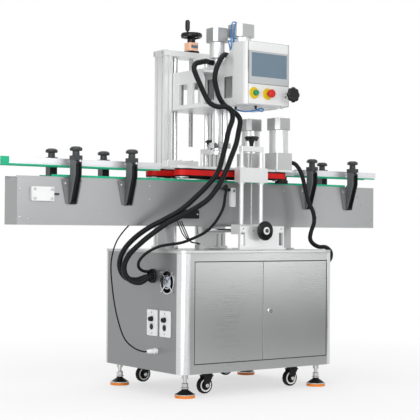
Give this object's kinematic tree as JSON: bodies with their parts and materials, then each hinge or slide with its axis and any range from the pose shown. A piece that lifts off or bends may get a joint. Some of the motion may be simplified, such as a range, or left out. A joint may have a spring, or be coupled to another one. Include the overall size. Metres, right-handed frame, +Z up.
{
  "type": "screw capping machine",
  "caption": "Inline screw capping machine on a stainless cabinet, with a slat conveyor, red gripping belts, a capping head on a lifting gantry and a control box.",
  "frame": {"origin": "on the floor, under the middle of the whole machine without its loose cables", "axes": "+X along the conveyor, the way the bottles travel; +Y away from the operator; +Z up"},
  "size_m": [1.99, 0.6333, 1.6327],
  "materials": {
    "brushed_stainless": "fine brushed sheet",
    "anodised_aluminium": "satin anodised",
    "ground_steel": "ground and polished",
    "black_plastic": "moulded, lightly textured",
    "white_plastic": "smooth",
    "black_rubber": "dull",
    "red_rubber": "dull",
    "orange_plastic": "smooth",
    "screen_glass": "smooth",
    "green_plastic": "smooth",
    "red_plastic": "smooth"
  },
  "bodies": {
    "machine": {"cabinet_shell": "brushed_stainless", "table_top": "brushed_stainless", "fan_frame": "black_plastic", "speed_panel_1": "white_plastic", "speed_panel_2": "white_plastic", "cable_gland": "black_plastic", "sensor_plug": "ground_steel", "conveyor_frame": "brushed_stainless", "conveyor_chain": "white_plastic", "lift_gantry": "anodised_aluminium", "position_counter": "orange_plastic", "slide_bed": "anodised_aluminium", "photo_sensor": "white_plastic", "junction_box": "black_plastic", "conduit_left": "black_rubber", "conduit_right": "black_rubber", "spiral_cable": "black_rubber", "sensor_cable": "black_rubber", "motor_cable": "black_rubber"},
    "left_door": {"left_door": "brushed_stainless"},
    "right_door": {"right_door": "brushed_stainless"},
    "door_lock": {"door_lock": "ground_steel"},
    "fan_rotor": {"fan_rotor": "black_plastic"},
    "speed_knob_1": {"speed_knob_1": "black_plastic"},
    "speed_knob_2": {"speed_knob_2": "black_plastic"},
    "lift_handwheel": {"lift_handwheel": "black_plastic"},
    "head": {"head_carriage": "anodised_aluminium", "head_housing": "anodised_aluminium", "operator_box": "white_plastic", "touch_screen": "screen_glass", "capping_motor": "anodised_aluminium", "stroke_motor": "anodised_aluminium"},
    "clamp_knob": {"clamp_knob": "black_plastic"},
    "start_button": {"start_button": "green_plastic"},
    "stop_button": {"stop_button": "red_plastic"},
    "stroke_carriage": {"stroke_carriage": "ground_steel"},
    "capping_chuck": {"capping_chuck": "ground_steel"},
    "width_handwheel": {"width_handwheel": "black_plastic"},
    "caster_fork_1": {"caster_fork_1": "black_plastic"},
    "caster_wheel_1": {"caster_wheel_1": "black_rubber"},
    "caster_fork_2": {"caster_fork_2": "black_plastic"},
    "caster_wheel_2": {"caster_wheel_2": "black_rubber"},
    "caster_fork_3": {"caster_fork_3": "black_plastic"},
    "caster_wheel_3": {"caster_wheel_3": "black_rubber"},
    "caster_fork_4": {"caster_fork_4": "black_plastic"},
    "caster_wheel_4": {"caster_wheel_4": "black_rubber"},
    "guide_rail_near_left": {"guide_rail_near_left": "anodised_aluminium"},
    "guide_rail_far_left": {"guide_rail_far_left": "anodised_aluminium"},
    "guide_rail_near_right": {"guide_rail_near_right": "anodised_aluminium"},
    "guide_rail_far_right": {"guide_rail_far_right": "anodised_aluminium"},
    "front_posts": {"front_posts": "anodised_aluminium"},
    "front_height_knob": {"front_height_knob": "black_plastic"},
    "front_belt_unit": {"front_belt_carrier": "anodised_aluminium", "front_belt": "red_rubber", "front_gear_motor": "anodised_aluminium"},
    "rear_posts": {"rear_posts": "anodised_aluminium"},
    "rear_height_knob": {"rear_height_knob": "black_plastic"},
    "rear_belt_unit": {"rear_belt_carrier": "anodised_aluminium", "rear_belt": "red_rubber", "rear_gear_motor": "anodised_aluminium"}
  },
  "joints": [
    {"name": "left_door_swing", "type": "hinge", "parent": "machine", "child": "left_door", "pos_m": [-0.2634, -0.3005, 0.345], "axis": [0, 0, -1], "range_deg": [0, 110]},
    {"name": "right_door_swing", "type": "hinge", "parent": "machine", "child": "right_door", "pos_m": [0.4396, -0.3005, 0.345], "axis": [0, 0, 1], "range_deg": [0, 110]},
    {"name": "door_lock_turn", "type": "hinge", "parent": "right_door", "child": "door_lock", "pos_m": [0.1231, -0.3005, 0.343], "axis": [0, 1, 0], "range_deg": [0, 90]},
    {"name": "caster_swivel_1", "type": "hinge", "parent": "machine", "child": "caster_fork_1", "pos_m": [-0.1495, -0.228, 0.098], "axis": [0, 0, 1], "continuous": true},
    {"name": "caster_roll_1", "type": "hinge", "parent": "caster_fork_1", "child": "caster_wheel_1", "pos_m": [-0.162, -0.228, 0.042], "axis": [0, 1, 0], "continuous": true},
    {"name": "caster_swivel_2", "type": "hinge", "parent": "machine", "child": "caster_fork_2", "pos_m": [0.3075, -0.228, 0.098], "axis": [0, 0, 1], "continuous": true},
    {"name": "caster_roll_2", "type": "hinge", "parent": "caster_fork_2", "child": "caster_wheel_2", "pos_m": [0.295, -0.228, 0.042], "axis": [0, 1, 0], "continuous": true},
    {"name": "caster_swivel_3", "type": "hinge", "parent": "machine", "child": "caster_fork_3", "pos_m": [-0.1495, 0.238, 0.098], "axis": [0, 0, 1], "continuous": true},
    {"name": "caster_roll_3", "type": "hinge", "parent": "caster_fork_3", "child": "caster_wheel_3", "pos_m": [-0.162, 0.238, 0.042], "axis": [0, 1, 0], "continuous": true},
    {"name": "caster_swivel_4", "type": "hinge", "parent": "machine", "child": "caster_fork_4", "pos_m": [0.3075, 0.238, 0.098], "axis": [0, 0, 1], "continuous": true},
    {"name": "caster_roll_4", "type": "hinge", "parent": "caster_fork_4", "child": "caster_wheel_4", "pos_m": [0.295, 0.238, 0.042], "axis": [0, 1, 0], "continuous": true},
    {"name": "fan_spin", "type": "hinge", "parent": "machine", "child": "fan_rotor", "pos_m": [-0.327, -0.1945, 0.468], "axis": [1, 0, 0], "continuous": true},
    {"name": "speed_knob_1_turn", "type": "hinge", "parent": "machine", "child": "speed_knob_1", "pos_m": [-0.327, -0.1855, 0.313], "axis": [1, 0, 0], "range_deg": [-150, 150]},
    {"name": "speed_knob_2_turn", "type": "hinge", "parent": "machine", "child": "speed_knob_2", "pos_m": [-0.327, -0.0905, 0.313], "axis": [1, 0, 0], "range_deg": [-150, 150]},
    {"name": "guide_rail_near_left_slide", "type": "slide", "parent": "machine", "child": "guide_rail_near_left", "axis": [0, 1, 0], "range_m": [-0.012, 0.012]},
    {"name": "guide_rail_far_left_slide", "type": "slide", "parent": "machine", "child": "guide_rail_far_left", "axis": [0, 1, 0], "range_m": [-0.012, 0.012]},
    {"name": "guide_rail_near_right_slide", "type": "slide", "parent": "machine", "child": "guide_rail_near_right", "axis": [0, 1, 0], "range_m": [-0.012, 0.012]},
    {"name": "guide_rail_far_right_slide", "type": "slide", "parent": "machine", "child": "guide_rail_far_right", "axis": [0, 1, 0], "range_m": [-0.012, 0.012]},
    {"name": "lift_handwheel_turn", "type": "hinge", "parent": "machine", "child": "lift_handwheel", "pos_m": [0.072, 0.2165, 1.5], "axis": [0, 0, 1], "range_deg": [-2705, 5405]},
    {"name": "head_lift", "type": "slide", "parent": "machine", "child": "head", "axis": [0, 0, 1], "range_m": [-0.03, 0.06], "deforming": ["conduit_left", "conduit_right"]},
    {"name": "clamp_knob_turn", "type": "hinge", "parent": "head", "child": "clamp_knob", "pos_m": [0.24, -0.2558, 1.264], "axis": [0, 1, 0], "continuous": true},
    {"name": "start_press", "type": "slide", "parent": "head", "child": "start_button", "axis": [0, 1, 0], "range_m": [0, 0.003], "stiffness_N_per_m": 400},
    {"name": "stop_press", "type": "slide", "parent": "head", "child": "stop_button", "axis": [0, 1, 0], "range_m": [0, 0.005], "stiffness_N_per_m": 400},
    {"name": "capping_stroke", "type": "slide", "parent": "head", "child": "stroke_carriage", "axis": [0, 0, 1], "range_m": [-0.02, 0]},
    {"name": "chuck_spin", "type": "hinge", "parent": "stroke_carriage", "child": "capping_chuck", "pos_m": [0.07, 0.015, 1.03], "axis": [0, 0, 1], "continuous": true},
    {"name": "width_handwheel_turn", "type": "hinge", "parent": "machine", "child": "width_handwheel", "pos_m": [0.145, -0.2055, 0.68], "axis": [0, 1, 0], "range_deg": [-905, 905]},
    {"name": "front_width", "type": "slide", "parent": "machine", "child": "front_posts", "axis": [0, 1, 0], "range_m": [-0.01, 0.01]},
    {"name": "rear_width", "type": "slide", "parent": "machine", "child": "rear_posts", "axis": [0, 1, 0], "range_m": [-0.0101, 0.0101]},
    {"name": "front_height_knob_turn", "type": "hinge", "parent": "front_posts", "child": "front_height_knob", "pos_m": [0.145, -0.1405, 1.06], "axis": [0, 0, 1], "range_deg": [0, 7205]},
    {"name": "front_height", "type": "slide", "parent": "front_posts", "child": "front_belt_unit", "axis": [0, 0, 1], "range_m": [0, 0.04], "deforming": ["motor_cable"]},
    {"name": "rear_height_knob_turn", "type": "hinge", "parent": "rear_posts", "child": "rear_height_knob", "pos_m": [0.145, 0.15, 1.06], "axis": [0, 0, 1], "range_deg": [0, 7205]},
    {"name": "rear_height", "type": "slide", "parent": "rear_posts", "child": "rear_belt_unit", "axis": [0, 0, 1], "range_m": [0, 0.04]}
  ],
  "couplings": [
    {"joint": "lift_handwheel_turn", "follows": "head_lift", "rad_per_m": 1570.8},
    {"joint": "width_handwheel_turn", "follows": "front_width", "rad_per_m": 1570.8},
    {"joint": "rear_width", "follows": "front_width", "ratio": -1},
    {"joint": "front_height_knob_turn", "follows": "front_height", "rad_per_m": 3141.6},
    {"joint": "rear_height_knob_turn", "follows": "rear_height", "rad_per_m": 3141.6}
  ]
}
